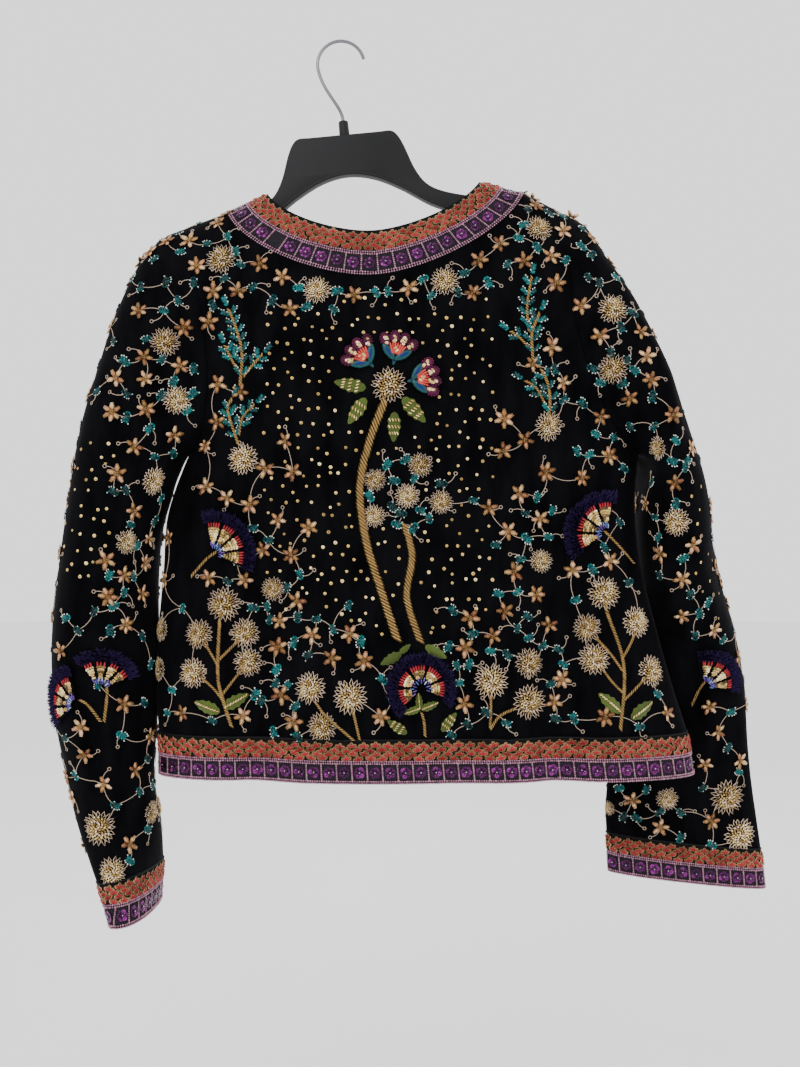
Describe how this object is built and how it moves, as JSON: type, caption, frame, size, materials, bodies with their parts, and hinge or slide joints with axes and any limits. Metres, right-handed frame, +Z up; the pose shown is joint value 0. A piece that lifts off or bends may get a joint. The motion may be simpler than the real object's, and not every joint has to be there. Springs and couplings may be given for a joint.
{
  "type": "embroidered jacket on a hanger",
  "caption": "Cropped collarless velvet jacket with long sleeves, embroidered borders and raised flowers, open down the front, hanging on a flat hanger with a wire hook.",
  "frame": {"origin": "under the top bend of the hanger's hook, where a rail carries it", "axes": "+Z up, +Y towards the jacket's fronts, so the embroidered back faces -Y; +X to the right as the back is seen"},
  "size_m": [0.6744, 0.1533, 0.8044],
  "materials": {
    "velvet": "matte",
    "border": "beaded",
    "fan_pile": "matte",
    "blossom_thread": "satin",
    "hanger_plastic": "satin",
    "hook_steel": "polished"
  },
  "bodies": {
    "root": {"hanger": "hanger_plastic", "hanger_hook": "hook_steel", "back": "velvet", "front_left": "velvet", "front_right": "velvet", "sleeve_left": "velvet", "sleeve_right": "velvet", "neck_border_back": "border", "neck_border_left": "border", "neck_border_right": "border", "hem_border_back": "border", "hem_border_left": "border", "hem_border_right": "border", "cuff_border_left": "border", "cuff_border_right": "border", "fan_back_left": "fan_pile", "fan_back_right": "fan_pile", "fan_back_centre": "fan_pile", "fan_left_sleeve_back": "fan_pile", "fan_left_sleeve_outer": "fan_pile", "fan_right_sleeve_back": "fan_pile", "fan_front_left": "fan_pile", "fan_front_right": "fan_pile", "blossom_left": "blossom_thread", "blossom_top": "blossom_thread", "blossom_right": "blossom_thread"}
  },
  "joints": []
}
